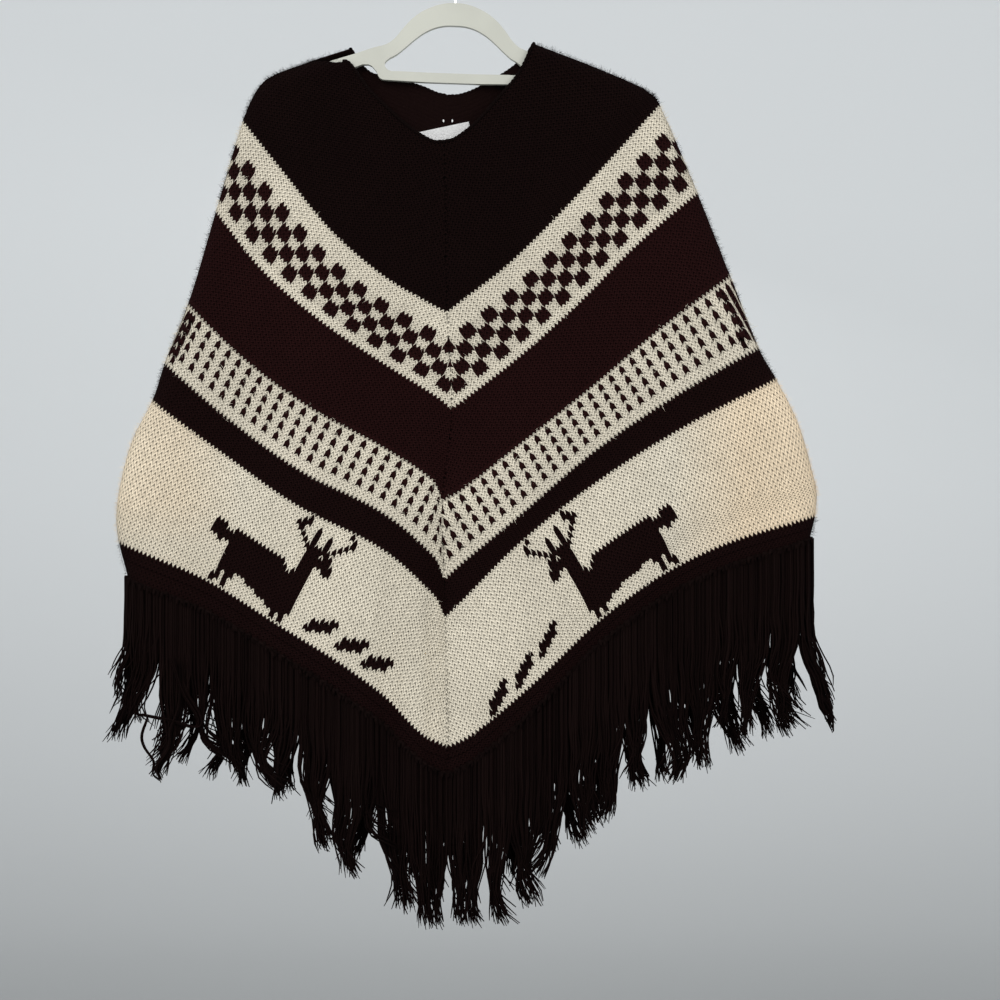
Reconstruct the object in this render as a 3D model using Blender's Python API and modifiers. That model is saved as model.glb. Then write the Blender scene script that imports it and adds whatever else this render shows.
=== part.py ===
"""An Andean poncho on a plastic hanger, in metres, +Z up, its front facing -Y.

The origin is the inner top of the hanger's hook, where a rail would touch it. The poncho is two knitted
panels, front and back, sewn together along the shoulders and sides. Each is knitted downwards from the neck
in rows that run in a V, with a mitre down the middle. An edging follows the hem, and a fringe hangs from it.
"""

import math
from collections import namedtuple

import bmesh
import bpy
from mathutils import Vector

MM = 0.001

# Cloth, in millimetres.
WALL = 3.0  # the knitted cloth
EDGING_WALL = 4.0  # the crocheted edging at the hem
FRINGE_WALL = 6.0  # the space that the hanging yarns take up
GAP = 0.3  # between neighbouring pieces
EDGING_DROP = 0.8  # the edging starts this far below the panel, the width of its joining stitches
FRINGE_DROP = 1.0  # the fringe starts this far below the edging, because the yarns hang from loops
SEAM_LIP = 2.5  # how far the cloth turns in before it meets the side seam
EDGE_ROUND = 0.09  # share of a half row that curves round to the side seam
EDGING_END = 138  # the last row of the edging

# A knitted row starts on the mitre, at the centre, and climbs to the side seam. Row 0 is the neck edge.
Centre = namedtuple("Centre", "row x z")
FRONT_CENTRE = (
    Centre(0, -15, -241),
    Centre(38, -12, -421),
    Centre(59, -7, -528),
    Centre(79, -17, -623),
    Centre(95, -15, -714),
    Centre(103, -14, -750),
    Centre(131, -12, -892),
    Centre(138, -12, -922),
)
BACK_CENTRE = (
    Centre(0, -12, -188),
    Centre(38, -11, -374),
    Centre(59, -8, -483),
    Centre(79, -12, -581),
    Centre(103, -12, -712),
    Centre(131, -12, -859),
    Centre(138, -12, -890),
)

# Where each row meets the side seam, which both panels share.
Side = namedtuple("Side", "row left_x left_z right_x right_z")
SIDES = (
    Side(0, -118, -134, 83, -129),
    Side(13, -167, -150, 143, -152),
    Side(25, -208, -167, 195, -174),
    Side(30, -222, -184, 208, -182),
    Side(38, -234, -212, 219, -195),
    Side(59, -264, -312, 261, -293),
    Side(79, -293, -409, 295, -379),
    Side(95, -320, -478, 328, -462),
    Side(103, -332, -515, 345, -492),
    Side(112, -355, -561, 370, -542),
    Side(121, -369, -615, 386, -598),
    Side(127, -372, -648, 390, -620),
    Side(131, -369, -671, 388, -643),
    Side(138, -359, -711, 382, -669),
)

# How far a row stands above the straight line from centre to side, at four places along it.
Bow = namedtuple("Bow", "row near quarter half three_quarter")
BOW_PLACES = (0.0, 0.06, 0.25, 0.5, 0.75, 1.0)
FRONT_LEFT_BOW = (
    Bow(0, -4, -14, -17, -16),
    Bow(38, -5, -18, -21, -11),
    Bow(59, 0, -9, -18, -17),
    Bow(79, 11, 6, -8, -10),
    Bow(95, 13, 17, -1, -5),
    Bow(103, 12, 19, 3, 0),
    Bow(121, 4, 17, 13, 10),
    Bow(131, -3, 14, 17, 16),
    Bow(138, -3, 12, 17, 16),
)
FRONT_RIGHT_BOW = (
    Bow(0, -1, -4, -8, -10),
    Bow(38, -2, -9, -9, -5),
    Bow(59, -2, -6, -5, 1),
    Bow(79, -4, -4, -3, 1),
    Bow(95, 3, 8, 16, 12),
    Bow(103, 4, 18, 23, 16),
    Bow(121, 0, 12, 29, 26),
    Bow(131, -3, 9, 32, 30),
    Bow(138, -3, 8, 32, 30),
)
BACK_LEFT_BOW = (
    Bow(0, 0, -1, -6, -13),
    Bow(38, -2, -10, -15, -10),
    Bow(79, 0, -3, -6, -5),
    Bow(103, 2, 8, 8, 5),
    Bow(138, -2, 11, 20, 18),
)
BACK_RIGHT_BOW = (
    Bow(0, -2, -7, -9, -8),
    Bow(38, -2, -9, -9, -5),
    Bow(79, 0, -3, -4, -2),
    Bow(103, 2, 10, 14, 9),
    Bow(138, -2, 9, 24, 21),
)

# Half the distance between the outer faces of the two panels.
Depth = namedtuple("Depth", "row half_thickness")
DEPTHS = (
    Depth(0, 10),
    Depth(25, 10),
    Depth(38, 12),
    Depth(59, 15),
    Depth(79, 17),
    Depth(103, 19),
    Depth(131, 21),
    Depth(138, 21),
)

# A fold runs down the cloth from one row to another. Its depth grows all the way, and is negative where the
# cloth goes in. The width is to where the fold has all but gone, on each side of its middle.
Fold = namedtuple("Fold", "name row_from row_to x_from x_to width depth")
FRONT_FOLDS = (
    Fold("centre_crease", 45, 110, -16, -25, 22, -9),
    Fold("hem_pleat", 92, 138, -62, -76, 26, -8),
    Fold("left_of_pleat", 80, 138, -88, -108, 40, 5),
    Fold("left_swell", 40, 138, -150, -205, 80, 6),
    Fold("left_hollow", 60, 138, -215, -285, 60, -6),
    Fold("right_of_centre", 45, 138, 28, 44, 55, 5),
    Fold("right_hollow", 70, 138, 95, 122, 55, -5),
    Fold("right_swell", 55, 138, 150, 172, 60, 5),
    Fold("gap_hollow", 85, 138, 198, 222, 45, -7),
    Fold("right_side_swell", 60, 138, 245, 300, 70, 5),
)
BACK_FOLDS = (
    Fold("centre_crease", 50, 120, -14, -6, 26, -7),
    Fold("left_pleat", 85, 138, 92, 110, 36, -7),
    Fold("left_swell", 45, 138, 160, 205, 80, 6),
    Fold("left_hollow", 60, 138, 235, 290, 60, -5),
    Fold("right_of_centre", 50, 138, -60, -80, 60, 5),
    Fold("right_hollow", 70, 138, -120, -150, 50, -6),
    Fold("right_swell", 60, 138, -200, -245, 80, 6),
)

# The fringe reaches from the hem down to this line.
Reach = namedtuple("Reach", "x z")
FRONT_REACH = (
    Reach(-380, -850),
    Reach(-340, -915),
    Reach(-243, -930),
    Reach(-184, -950),
    Reach(-140, -1025),
    Reach(-60, -1073),
    Reach(-12, -1089),
    Reach(55, -1080),
    Reach(105, -1040),
    Reach(177, -958),
    Reach(240, -936),
    Reach(319, -891),
    Reach(372, -886),
    Reach(412, -864),
)
BACK_REACH = (
    Reach(-378, -868),
    Reach(-300, -920),
    Reach(-205, -955),
    Reach(-110, -1020),
    Reach(-12, -1058),
    Reach(90, -1020),
    Reach(200, -950),
    Reach(300, -905),
    Reach(405, -872),
)

# Places along a half row where the solid has a line of points, as shares of it, and the rows that it has.
PLACES = (0.0, 0.03, 0.06, 0.1, 0.16, 0.24, 0.33, 0.43, 0.54, 0.65, 0.75, 0.84, 0.91, 0.955, 0.985)
PANEL_ROWS = (0, 4, 8, 13, 19, 25, 30, 34, 38, 45, 52, 59, 66, 73, 79, 87, 95, 103, 109, 115, 121, 127, 131)
EDGING_ROWS = (131, 134, 138)
FRINGE_STEPS = (0.0, 0.3, 0.65, 1.0)

# The label inside the back neck.
LABEL_WIDTH = 60.0
LABEL_HEIGHT = 38.0
LABEL_THICKNESS = 0.8
LABEL_CENTRE = (-14, -237)
LABEL_TILT = 12.0  # degrees

# The hanger, in its own frame, which is turned about the hook by HANGER_TILT.
HANGER_TILT = 2.0  # degrees
HANGER_THICKNESS = 6.0
HANGER_EDGE = 1.0
Outline = namedtuple("Outline", "x z")
HANGER_OUTER = (  # the right half, from the arch's top round to the lower bar
    Outline(0, -85.5),
    Outline(13, -86.8),
    Outline(26, -91),
    Outline(41.5, -100),
    Outline(55.5, -114.5),
    Outline(64, -125.5),
    Outline(73, -132.5),
    Outline(86, -136.5),
    Outline(105, -143.5),
    Outline(140, -155.5),
    Outline(170, -167),
    Outline(188, -176),
    Outline(197, -182),
    Outline(197, -189),
    Outline(190, -190),
    Outline(160, -179),
    Outline(111, -161),
    Outline(92, -155.5),
    Outline(83, -163),
    Outline(79, -170),
    Outline(70, -171.6),
)
HANGER_WINDOW = (  # the right half, from the top of the opening round to the bar
    Outline(0, -110.3),
    Outline(16.4, -111.8),
    Outline(31, -118),
    Outline(42, -126),
    Outline(53, -136),
    Outline(62.5, -144),
    Outline(72, -150),
    Outline(74.5, -154.5),
    Outline(70, -160.8),
    Outline(60, -161.6),
)
HOOK_WIRE = 1.75  # radius
HOOK_INNER = 19.0  # radius of the space for the rail
HOOK_FIRST, HOOK_LAST, HOOK_STEPS = -62.0, 200.0, 22  # the arc, in degrees, and its number of steps
HOOK_STEM = ((0, -99), (0, -80), (0, -62), (0.6, -52), (3.0, -43.5))
SOCKET_RADIUS = 2.1
SOCKET_DEPTH = 15.0


def smooth_between(rows, places, where):
    """The value at a place, on a smooth curve through the rows' values."""
    if where <= places[0]:
        return rows[0]
    if where >= places[-1]:
        return rows[-1]
    i = max(k for k in range(len(places) - 1) if places[k] <= where)

    def slope(k):
        low, high = max(k - 1, 0), min(k + 1, len(places) - 1)
        return (rows[high] - rows[low]) / (places[high] - places[low])

    span = places[i + 1] - places[i]
    t = (where - places[i]) / span
    return (
        rows[i] * (2 * t**3 - 3 * t**2 + 1)
        + rows[i + 1] * (3 * t**2 - 2 * t**3)
        + span * slope(i) * (t**3 - 2 * t**2 + t)
        + span * slope(i + 1) * (t**3 - t**2)
    )


def column(table, name, where):
    """The named column of a table at a row, or at an x, that may lie between two of the table's own."""
    return smooth_between([getattr(line, name) for line in table], [line[0] for line in table], where)


class Panel:
    """One side of the poncho: its tables, and the points on its outer face."""

    def __init__(self, centre, left_bow, right_bow, folds, reach, facing):
        self.centre, self.folds, self.reach, self.facing = centre, folds, reach, facing
        self.bows = {-1: left_bow, 1: right_bow}

    def on_row(self, row, share):
        """(x, z) at a share of the half row: 0 is the centre, -1 the left side seam, 1 the right one."""
        hand = -1 if share < 0 else 1
        start = Vector((column(self.centre, "x", row), column(self.centre, "z", row)))
        side = "left" if hand < 0 else "right"
        chord = Vector((column(SIDES, side + "_x", row), column(SIDES, side + "_z", row))) - start
        bows = [column(self.bows[hand], name, row) for name in Bow._fields[1:]]
        bow = smooth_between([0.0, *bows, 0.0], BOW_PLACES, abs(share))
        upward = Vector((-chord.y, chord.x)) if hand > 0 else Vector((chord.y, -chord.x))
        point = start + chord * abs(share) + upward.normalized() * bow
        return point.x, point.y

    def depth(self, row, share, x):
        """How far the outer face stands from the middle plane, with folds and the turn to the side seam."""
        to_seam = min((1 - abs(share)) / EDGE_ROUND, 1.0)
        turn = math.sqrt(1 - (1 - to_seam) ** 2)
        folded = 0.0
        for fold in self.folds:
            along = min(max((row - fold.row_from) / (fold.row_to - fold.row_from), 0.0), 1.0)
            middle = fold.x_from + (fold.x_to - fold.x_from) * along
            folded += fold.depth * along * math.exp(-(((x - middle) / (0.5 * fold.width)) ** 2))
        return max((column(DEPTHS, "half_thickness", row) + folded) * turn, SEAM_LIP)

    def point(self, row, share):
        x, z = self.on_row(row, share)
        return Vector((x, self.facing * self.depth(row, share, x), z))

    def line(self, row, lower=0.0):
        """The points along a row, with a lip at each end that stops just short of the side seam."""
        shares = [-1.0, *(-place for place in reversed(PLACES[1:])), *PLACES, 1.0]
        points = [self.point(row, share) - Vector((0, 0, lower)) for share in shares]
        ends = [Vector((end.x, self.facing * 0.5 * GAP, end.z)) for end in (points[0], points[-1])]
        return [ends[0], *points, ends[1]]

    def fringe_line(self, step):
        """A line across the fringe, a step of the way from the hem to its reach. It hangs straight down."""
        hem = self.line(EDGING_END, lower=FRINGE_DROP)
        return [
            Vector((p.x * (1 + 0.055 * step), p.y, p.z + step * (column(self.reach, "z", p.x) - p.z)))
            for p in hem
        ]


FRONT = Panel(FRONT_CENTRE, FRONT_LEFT_BOW, FRONT_RIGHT_BOW, FRONT_FOLDS, FRONT_REACH, facing=-1)
BACK = Panel(BACK_CENTRE, BACK_LEFT_BOW, BACK_RIGHT_BOW, BACK_FOLDS, BACK_REACH, facing=1)


def material(name, colour, roughness, metallic=0.0):
    found = bpy.data.materials.new(name)
    found.use_nodes = True
    shader = found.node_tree.nodes["Principled BSDF"]
    shader.inputs["Base Color"].default_value = (*colour, 1.0)
    shader.inputs["Roughness"].default_value = roughness
    shader.inputs["Metallic"].default_value = metallic
    return found


def object_from(name, mesh, finish, collection):
    made = bpy.data.objects.new(name, mesh)
    mesh.materials.append(finish)
    collection.objects.link(made)
    return made


def sheet_mesh(name, lines, facing):
    """A sheet through lines of points, with its faces towards the outside of the garment."""
    bm = bmesh.new()
    grid = [[bm.verts.new(point * MM) for point in line] for line in lines]
    for upper, lower in zip(grid, grid[1:]):
        for i in range(len(upper) - 1):
            corners = (upper[i], lower[i], lower[i + 1], upper[i + 1])
            bm.faces.new(corners if facing < 0 else corners[::-1])
    mesh = bpy.data.meshes.new(name)
    bm.to_mesh(mesh)
    bm.free()
    mesh.shade_smooth()
    return mesh


def cloth(name, lines, facing, thickness, finish, collection):
    """A sheet made a wall by Solidify, which grows inwards from the outer face."""
    made = object_from(name, sheet_mesh(name, lines, facing), finish, collection)
    wall = made.modifiers.new("wall", "SOLIDIFY")
    wall.thickness = thickness * MM
    wall.offset = -1.0
    return made


def make_garment(collection):
    knit = material("dark_knit", (0.012, 0.007, 0.007), 0.95)
    edging = material("dark_edging", (0.014, 0.008, 0.008), 0.95)
    yarn = material("dark_yarn", (0.010, 0.007, 0.008), 0.9)
    for side, panel in (("front", FRONT), ("back", BACK)):
        rows = [panel.line(row) for row in PANEL_ROWS]
        cloth(side + "_panel", rows, panel.facing, WALL, knit, collection)
        rows = [panel.line(EDGING_ROWS[0], lower=EDGING_DROP), *(panel.line(row) for row in EDGING_ROWS[1:])]
        cloth(side + "_hem_edging", rows, panel.facing, EDGING_WALL, edging, collection)
        rows = [panel.fringe_line(step) for step in FRINGE_STEPS]
        cloth(side + "_fringe", rows, panel.facing, FRINGE_WALL, yarn, collection)


def make_label(collection):
    """The label lies on the inner face of the back panel, which is flat around the neck."""
    face = DEPTHS[0].half_thickness - WALL - GAP
    bpy.ops.mesh.primitive_cube_add(size=1.0)
    label = bpy.context.object
    label.name = "neck_label"
    label.data.transform(
        [
            (LABEL_WIDTH * MM, 0, 0, 0),
            (0, LABEL_THICKNESS * MM, 0, 0),
            (0, 0, LABEL_HEIGHT * MM, 0),
            (0, 0, 0, 1),
        ]
    )
    label.location = Vector((LABEL_CENTRE[0], face - 0.5 * LABEL_THICKNESS, LABEL_CENTRE[1])) * MM
    label.rotation_euler = (0, -math.radians(LABEL_TILT), 0)
    label.data.materials.append(material("label_cloth", (0.75, 0.73, 0.70), 0.8))
    move_to(label, collection)
    return label


def move_to(made, collection):
    for old in list(made.users_collection):
        old.objects.unlink(made)
    collection.objects.link(made)


def flat_outline(name, halves, thickness, collection):
    """A flat piece from closed outlines that mirror about x = 0. Those after the first are holes."""
    curve = bpy.data.curves.new(name, "CURVE")
    curve.dimensions = "2D"
    curve.fill_mode = "BOTH"
    curve.extrude = 0.5 * thickness * MM
    curve.resolution_u = 3
    for half in halves:
        whole = [*half, *(Outline(-p.x, p.z) for p in reversed(half) if p.x > 0)]
        spline = curve.splines.new("BEZIER")
        spline.bezier_points.add(len(whole) - 1)
        for knot, p in zip(spline.bezier_points, whole):
            knot.co = (p.x * MM, p.z * MM, 0)
            knot.handle_left_type = knot.handle_right_type = "AUTO"
        spline.use_cyclic_u = True
    drawn = bpy.data.objects.new(name, curve)
    drawn.rotation_euler = (math.radians(90), 0, 0)
    collection.objects.link(drawn)
    return as_mesh(drawn, name, collection)


def as_mesh(drawn, name, collection):
    """The curve made a mesh with its caps welded on, because a Boolean and a Bevel need one."""
    bpy.context.view_layer.update()
    evaluated = drawn.evaluated_get(bpy.context.evaluated_depsgraph_get())
    mesh = bpy.data.meshes.new_from_object(evaluated)
    mesh.transform(drawn.matrix_world)
    bpy.data.objects.remove(drawn)
    bm = bmesh.new()
    bm.from_mesh(mesh)
    bmesh.ops.remove_doubles(bm, verts=bm.verts, dist=0.00001)
    bmesh.ops.recalc_face_normals(bm, faces=bm.faces)
    bm.to_mesh(mesh)
    bm.free()
    made = bpy.data.objects.new(name, mesh)
    collection.objects.link(made)
    return made


def make_hanger(collection, cutters):
    tilt = bpy.data.objects.new("hanger_tilt", None)
    tilt.rotation_euler = (0, math.radians(HANGER_TILT), 0)
    collection.objects.link(tilt)

    body = flat_outline("hanger_body", (HANGER_OUTER, HANGER_WINDOW), HANGER_THICKNESS, collection)
    body.data.materials.append(material("hanger_plastic", (0.66, 0.63, 0.55), 0.45))
    body.parent = tilt
    rounded = body.modifiers.new("rounded_edges", "BEVEL")
    rounded.width = HANGER_EDGE * MM
    rounded.segments = 2
    rounded.limit_method = "ANGLE"
    rounded.angle_limit = math.radians(50)

    bpy.ops.mesh.primitive_cylinder_add(
        vertices=16,
        radius=SOCKET_RADIUS * MM,
        depth=2 * SOCKET_DEPTH * MM,
        location=(0, 0, HANGER_OUTER[0].z * MM),
    )
    socket = bpy.context.object
    socket.name = "hook_socket_cutter"
    socket.parent = tilt
    socket.hide_render = True
    socket.display_type = "WIRE"
    move_to(socket, cutters)
    bored = body.modifiers.new("hook_socket", "BOOLEAN")
    bored.operation = "DIFFERENCE"
    bored.object = socket

    wire = bpy.data.curves.new("hanger_hook", "CURVE")
    wire.dimensions = "3D"
    wire.bevel_depth = HOOK_WIRE * MM
    wire.bevel_resolution = 2
    wire.use_fill_caps = True
    middle = HOOK_INNER + HOOK_WIRE
    turns = [HOOK_FIRST + (HOOK_LAST - HOOK_FIRST) * i / HOOK_STEPS for i in range(HOOK_STEPS + 1)]
    turns = [math.radians(a) for a in turns]
    arc = [(middle * math.cos(a), middle * math.sin(a) - HOOK_INNER) for a in turns]
    route = [*HOOK_STEM, *arc]
    spline = wire.splines.new("POLY")
    spline.points.add(len(route) - 1)
    for knot, (x, z) in zip(spline.points, route):
        knot.co = (x * MM, 0, z * MM, 1)
    hook = bpy.data.objects.new("hanger_hook", wire)
    wire.materials.append(material("hook_wire", (0.62, 0.62, 0.63), 0.3, metallic=1.0))
    collection.objects.link(hook)
    hook.parent = tilt


def main():
    for old in list(bpy.data.objects):
        bpy.data.objects.remove(old)
    parts = bpy.data.collections.new("andean_poncho")
    cutters = bpy.data.collections.new("cutters")
    for made in (parts, cutters):
        bpy.context.scene.collection.children.link(made)
    make_garment(parts)
    make_label(parts)
    make_hanger(parts, cutters)
    bpy.context.view_layer.update()


main()
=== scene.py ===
# %% [markdown]
# # A knitted Andean poncho, hanging on its hanger
#
# The poncho is two knitted panels, one in front and one behind, sewn together along the shoulders and
# sides. Each panel is knitted downwards from the neck in rows that run in a V. A border follows the hem,
# and a fringe of loose yarns hangs from it. This lesson gives every stitch its two legs of yarn, works the
# coloured bands from charts, and then hangs the fringe strand by strand.
#
# The first step loads the object's fixed frame. Everything that follows is in its metres.

# %% Load the frame
import math
from collections import namedtuple

import bpy
import numpy as np
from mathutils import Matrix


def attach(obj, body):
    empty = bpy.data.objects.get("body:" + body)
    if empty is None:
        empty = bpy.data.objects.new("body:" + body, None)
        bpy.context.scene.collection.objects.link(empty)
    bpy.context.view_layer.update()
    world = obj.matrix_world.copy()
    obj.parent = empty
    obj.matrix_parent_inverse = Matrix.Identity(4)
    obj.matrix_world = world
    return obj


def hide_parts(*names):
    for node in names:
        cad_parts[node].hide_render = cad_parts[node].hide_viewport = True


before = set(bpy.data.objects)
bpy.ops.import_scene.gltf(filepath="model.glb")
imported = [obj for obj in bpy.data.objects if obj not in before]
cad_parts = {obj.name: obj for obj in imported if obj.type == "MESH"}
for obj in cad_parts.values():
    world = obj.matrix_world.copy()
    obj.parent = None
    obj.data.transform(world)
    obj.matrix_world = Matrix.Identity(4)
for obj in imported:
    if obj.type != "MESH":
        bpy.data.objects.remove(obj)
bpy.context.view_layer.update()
MM = 0.001
rng = np.random.default_rng(7)
print("nodes:", sorted(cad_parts))

# %% [markdown]
# ## The camera, the room and the light
#
# The garment is seen straight from the front, with the lens level with its middle. A pale sheet is the floor,
# and it curves up into the wall far behind; painted shade darkens it towards the floor. One large soft lamp
# stands in front and above on the left, and another fills in from the right, so the cloth has hardly any
# shadows.

# %% Camera
scene = bpy.context.scene
camera = bpy.data.objects.new("camera", bpy.data.cameras.new("camera"))
scene.collection.objects.link(camera)
camera.data.lens = 60
camera.data.sensor_width = 36
camera.location = (0.0454, -1.812, -0.625)
camera.rotation_euler = (math.radians(90), 0, 0)
scene.camera = camera


# %% Floor and wall
def new_material(name):
    """An empty material with a Principled shader, and that shader."""
    made = bpy.data.materials.new(name)
    made.use_nodes = True
    return made, made.node_tree.nodes["Principled BSDF"]


def mesh_object(name, points, faces, smooth=True):
    """A mesh object from points in metres and faces that all have the same number of corners."""
    points = np.asarray(points, np.float32)
    faces = np.asarray(faces, np.int32)
    sides = faces.shape[1]
    mesh = bpy.data.meshes.new(name)
    mesh.vertices.add(len(points))
    mesh.vertices.foreach_set("co", points.ravel())
    mesh.loops.add(faces.size)
    mesh.loops.foreach_set("vertex_index", faces.ravel())
    mesh.polygons.add(len(faces))
    mesh.polygons.foreach_set("loop_start", np.arange(len(faces), dtype=np.int32) * sides)
    mesh.update(calc_edges=True)
    if smooth:
        mesh.shade_smooth()
    made = bpy.data.objects.new(name, mesh)
    scene.collection.objects.link(made)
    return made


FLOOR_Z, WALL_Y, CURVE = -1.7, 3.5, 1.4
turn = np.radians(np.linspace(0, 90, 25))
profile = [(-5.0, FLOOR_Z), (1.7, FLOOR_Z)]
profile += [(WALL_Y - CURVE + CURVE * math.sin(a), FLOOR_Z + CURVE * (1 - math.cos(a))) for a in turn]
profile += [(WALL_Y, 0.3), (WALL_Y, 5.0)]
# Painted shade: these values scale the paper's colour, darker towards the floor and the foot of the curve and
# a little brighter up the wall.
shade = [0.45, 0.45]
shade += list(np.interp(np.degrees(turn), (0, 20, 50, 80, 90), (0.515, 0.60, 0.775, 1.0, 1.06)))
shade += [1.09, 1.04]
across = np.linspace(-10, 10, 7)
sheet_points = [(x, y, z) for y, z in profile for x in across]
sheet_faces = [
    (i * 7 + j, i * 7 + j + 1, (i + 1) * 7 + j + 1, (i + 1) * 7 + j)
    for i in range(len(profile) - 1)
    for j in range(6)
]
backdrop = mesh_object("backdrop", sheet_points, sheet_faces)
backdrop_material, shader = new_material("backdrop_paper")
tree = backdrop_material.node_tree
# The shade attribute carries the painted shade into the paper's colour.
level = tree.nodes.new("ShaderNodeAttribute")
level.attribute_name = "shade"
paper = tree.nodes.new("ShaderNodeVectorMath")
paper.operation = "SCALE"
paper.inputs[0].default_value = (0.755, 0.77, 0.765)
tree.links.new(level.outputs["Fac"], paper.inputs["Scale"])
tree.links.new(paper.outputs[0], shader.inputs["Base Color"])
shader.inputs["Roughness"].default_value = 0.95
shader.inputs["Specular IOR Level"].default_value = 0.1
backdrop.data.attributes.new("shade", "FLOAT", "POINT").data.foreach_set("value", np.repeat(shade, 7))
backdrop.data.materials.append(backdrop_material)


# %% Light
def soft_lamp(name, place, target, size, power):
    """A square area lamp that faces its target."""
    made = bpy.data.objects.new(name, bpy.data.lights.new(name, "AREA"))
    made.data.shape = "SQUARE"
    made.data.size = size
    made.data.energy = power
    made.location = place
    towards = np.subtract(target, place)
    flat = math.hypot(towards[0], towards[1])
    made.rotation_euler = (
        math.radians(90) + math.atan2(towards[2], flat),
        0,
        math.atan2(towards[1], towards[0]) - math.radians(90),
    )
    scene.collection.objects.link(made)
    return made


middle = (0.0, 0.0, -0.55)
soft_lamp("key_light", (-1.5, -2.6, 1.0), middle, 2.0, 48)
soft_lamp("fill_light", (2.0, -2.6, 0.2), middle, 2.4, 29)
soft_lamp("back_light", (0.6, 2.6, 1.4), middle, 2.0, 22)
world = bpy.data.worlds.new("room")
world.use_nodes = True
world.node_tree.nodes["Background"].inputs["Color"].default_value = (0.93, 0.96, 1.0, 1)
world.node_tree.nodes["Background"].inputs["Strength"].default_value = 0.82
scene.world = world
scene.view_settings.view_transform = "Standard"
print("camera at", [round(v, 3) for v in camera.location])

# %% [markdown]
# ## The form of the cloth
#
# The panels follow the frame's solids, so their tables are nearly the same, in millimetres. Row 0 is the
# neck edge, row 131 is the end of the knitting, and row 138 is the hem. A row starts at the centre and
# climbs to the side seam. A fold goes down the cloth, and its depth grows on the way.

# %% Tables of the form
Centre = namedtuple("Centre", "row x z")
FRONT_CENTRE = (
    Centre(0, -15, -241),
    Centre(38, -12, -421),
    Centre(59, -7, -528),
    Centre(79, -17, -623),
    Centre(95, -15, -714),
    Centre(103, -14, -750),
    Centre(131, -12, -892),
    Centre(138, -12, -922),
)
BACK_CENTRE = (
    Centre(0, -12, -188),
    Centre(38, -11, -374),
    Centre(59, -8, -483),
    Centre(79, -12, -581),
    Centre(103, -12, -712),
    Centre(131, -12, -859),
    Centre(138, -12, -890),
)
Side = namedtuple("Side", "row left_x left_z right_x right_z")
SIDES = (
    Side(0, -118, -134, 83, -129),
    Side(13, -167, -150, 143, -152),
    Side(25, -208, -167, 195, -174),
    Side(30, -222, -184, 208, -182),
    Side(38, -234, -212, 219, -195),
    Side(59, -264, -312, 261, -293),
    Side(79, -293, -409, 295, -379),
    Side(95, -320, -478, 328, -462),
    Side(103, -332, -515, 345, -492),
    Side(112, -355, -561, 370, -542),
    Side(121, -369, -615, 386, -598),
    Side(127, -372, -648, 390, -620),
    Side(131, -369, -671, 388, -643),
    Side(138, -359, -711, 382, -669),
)
Bow = namedtuple("Bow", "row near quarter half three_quarter")
BOW_PLACES = (0.0, 0.06, 0.25, 0.5, 0.75, 1.0)
FRONT_LEFT_BOW = (
    Bow(0, -6, -14, -17, -16),
    Bow(38, -5, -18, -21, -11),
    Bow(59, 0, -9, -18, -17),
    Bow(79, 11, 6, -8, -10),
    Bow(95, 13, 17, -1, -5),
    Bow(103, 12, 19, 3, 0),
    Bow(121, 4, 17, 13, 10),
    Bow(131, -3, 14, 17, 16),
    Bow(138, -3, 12, 17, 16),
)
FRONT_RIGHT_BOW = (
    Bow(0, -4, -10, -11, -10),
    Bow(38, -2, -9, -9, -5),
    Bow(59, -2, -6, -5, 1),
    Bow(79, -4, -4, -3, 1),
    Bow(95, 3, 8, 16, 12),
    Bow(103, 4, 18, 23, 16),
    Bow(121, 0, 12, 29, 26),
    Bow(131, -3, 9, 32, 30),
    Bow(138, -3, 8, 32, 30),
)
BACK_LEFT_BOW = (
    Bow(0, 0, -1, -6, -13),
    Bow(38, -2, -10, -15, -10),
    Bow(79, 0, -3, -6, -5),
    Bow(103, 2, 8, 8, 5),
    Bow(138, -2, 11, 20, 18),
)
BACK_RIGHT_BOW = (
    Bow(0, -2, -7, -9, -8),
    Bow(38, -2, -9, -9, -5),
    Bow(79, 0, -3, -4, -2),
    Bow(103, 2, 10, 14, 9),
    Bow(138, -2, 9, 24, 21),
)
Depth = namedtuple("Depth", "row half_thickness")
DEPTHS = (
    Depth(0, 10),
    Depth(25, 10),
    Depth(38, 12),
    Depth(59, 15),
    Depth(79, 17),
    Depth(103, 19),
    Depth(131, 21),
    Depth(138, 21),
)
Fold = namedtuple("Fold", "name row_from row_to x_from x_to width depth")
FRONT_FOLDS = (
    Fold("centre_crease", 45, 110, -16, -25, 22, -9),
    Fold("hem_pleat", 92, 138, -62, -76, 26, -8),
    Fold("left_of_pleat", 80, 138, -88, -108, 40, 5),
    Fold("left_swell", 40, 138, -150, -205, 80, 6),
    Fold("left_hollow", 60, 138, -215, -285, 60, -6),
    Fold("right_of_centre", 45, 138, 28, 44, 55, 5),
    Fold("right_hollow", 70, 138, 95, 122, 55, -5),
    Fold("right_swell", 55, 138, 150, 172, 60, 5),
    Fold("gap_hollow", 85, 138, 198, 222, 45, -7),
    Fold("right_side_swell", 60, 138, 245, 300, 70, 5),
)
BACK_FOLDS = (
    Fold("centre_crease", 50, 120, -14, -6, 26, -7),
    Fold("left_pleat", 85, 138, 92, 110, 36, -7),
    Fold("left_swell", 45, 138, 160, 205, 80, 6),
    Fold("left_hollow", 60, 138, 235, 290, 60, -5),
    Fold("right_of_centre", 50, 138, -60, -80, 60, 5),
    Fold("right_hollow", 70, 138, -120, -150, 50, -6),
    Fold("right_swell", 60, 138, -200, -245, 80, 6),
)
EDGE_ROUND = 0.09
SEAM_LIP = 0.3
HEM_ROW = 138
PANEL_END = 131
KNIT_END = 134
BORDER_START = 133


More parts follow.
